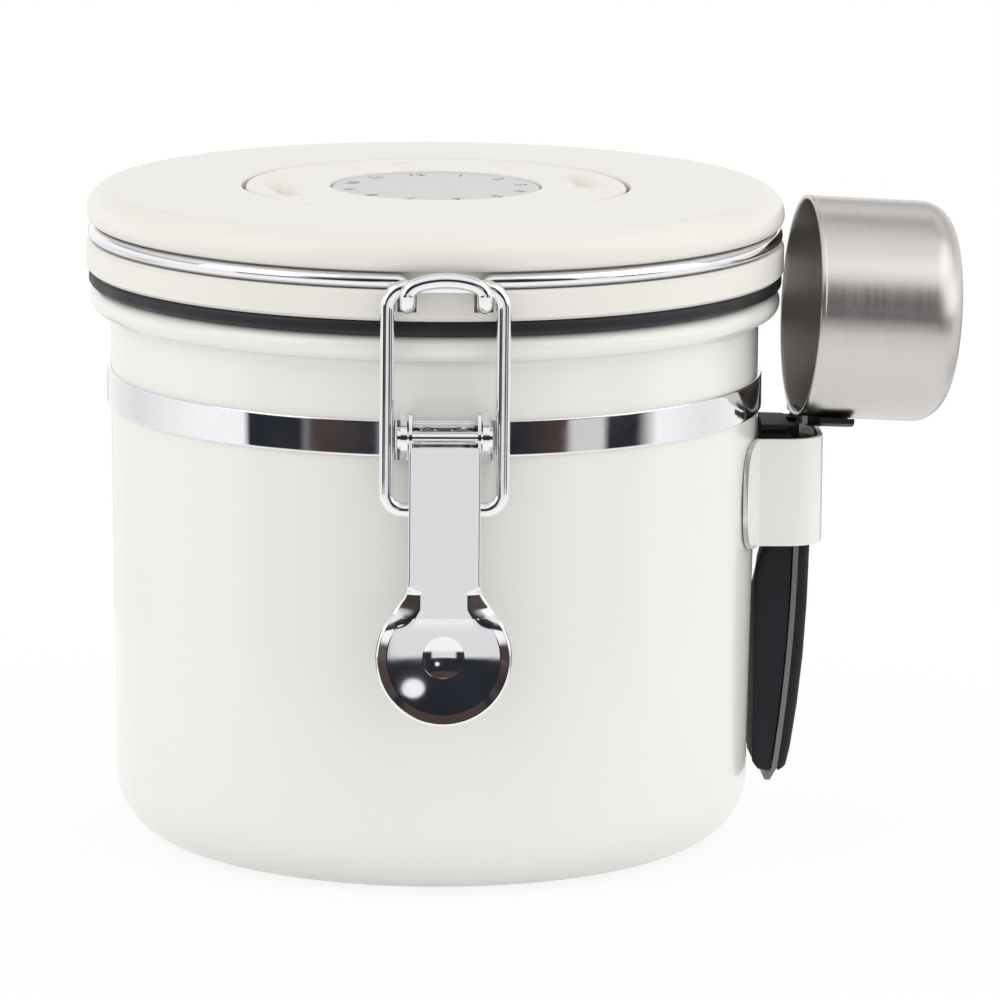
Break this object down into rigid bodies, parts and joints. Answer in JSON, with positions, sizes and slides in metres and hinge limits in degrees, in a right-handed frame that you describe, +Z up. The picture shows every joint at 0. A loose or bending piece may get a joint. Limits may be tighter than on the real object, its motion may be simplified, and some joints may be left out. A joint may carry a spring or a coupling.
{
  "type": "coffee canister with valve",
  "caption": "Painted steel canister with a hinged plastic lid, date dial, one-way valve, wire latch, and a steel scoop with a bag clip hung in a strap at its side.",
  "frame": {"origin": "centre of the can's flat base", "axes": "+Z up along the can's axis, -Y towards the latch, +X towards the scoop"},
  "size_m": [0.1692, 0.1475, 0.1258],
  "materials": {
    "body_paint": "gloss",
    "chrome": "polished",
    "lid_plastic": "gloss",
    "gasket_rubber": "satin",
    "dial_silver": "satin",
    "valve_plastic": "matte",
    "valve_rubber": "satin",
    "plain_steel": "satin",
    "scoop_steel": "brushed",
    "grip_plastic": "satin"
  },
  "bodies": {
    "canister": {"canister_body": "body_paint", "clamp_band": "chrome", "latch_bracket": "chrome", "latch_pin": "chrome", "hinge_bracket": "chrome", "band_rivets": "chrome", "scoop_strap": "body_paint"},
    "lid": {"lid_cap": "lid_plastic", "lid_base": "lid_plastic", "gasket": "gasket_rubber", "bail_wire": "chrome", "lid_screws": "plain_steel", "dial_retainer": "valve_plastic", "dial_disc": "dial_silver", "dial_detent": "plain_steel", "valve_housing": "valve_plastic", "valve_cover": "valve_plastic", "valve_filter": "plain_steel"},
    "dial": {"dial_ring": "lid_plastic"},
    "valve_flap": {"valve_flap": "valve_rubber"},
    "latch_lever": {"latch_lever": "chrome"},
    "latch_loop": {"latch_loop": "chrome"},
    "scoop": {"scoop_cup": "scoop_steel", "handle_strip": "scoop_steel", "handle_cover": "grip_plastic", "cover_rivets": "scoop_steel", "clip_pin": "plain_steel", "clip_spring": "plain_steel"},
    "clip_jaw": {"clip_jaw": "grip_plastic"}
  },
  "joints": [
    {"name": "lid_hinge", "type": "hinge", "parent": "canister", "child": "lid", "pos_m": [0, 0.07, 0.0995], "axis": [-1, 0, 0], "range_deg": [0, 100]},
    {"name": "lever_hinge", "type": "hinge", "parent": "canister", "child": "latch_lever", "pos_m": [0, -0.0684, 0.0886], "axis": [-1, 0, 0], "range_deg": [0, 100]},
    {"name": "loop_hinge", "type": "hinge", "parent": "latch_lever", "child": "latch_loop", "pos_m": [0, -0.0672, 0.075], "axis": [1, 0, 0], "range_deg": [0, 135]},
    {"name": "dial_spin", "type": "hinge", "parent": "lid", "child": "dial", "pos_m": [0, 0, 0.122], "axis": [0, 0, 1], "continuous": true},
    {"name": "flap_lift", "type": "slide", "parent": "lid", "child": "valve_flap", "axis": [0, 0, 1], "range_m": [0, 0.0006], "stiffness_N_per_m": 20},
    {"name": "scoop_lift", "type": "slide", "parent": "canister", "child": "scoop", "axis": [0, 0, 1], "range_m": [0, 0.018]},
    {"name": "jaw_hinge", "type": "hinge", "parent": "scoop", "child": "clip_jaw", "pos_m": [0.0709, 0, 0.0792], "axis": [-0.0349, 0.9994, 0], "range_deg": [0, 0.75]}
  ],
  "couplings": [
    {"joint": "lever_hinge", "follows": "lid_hinge", "ratio": 1},
    {"joint": "loop_hinge", "follows": "lid_hinge", "ratio": 1.35}
  ]
}
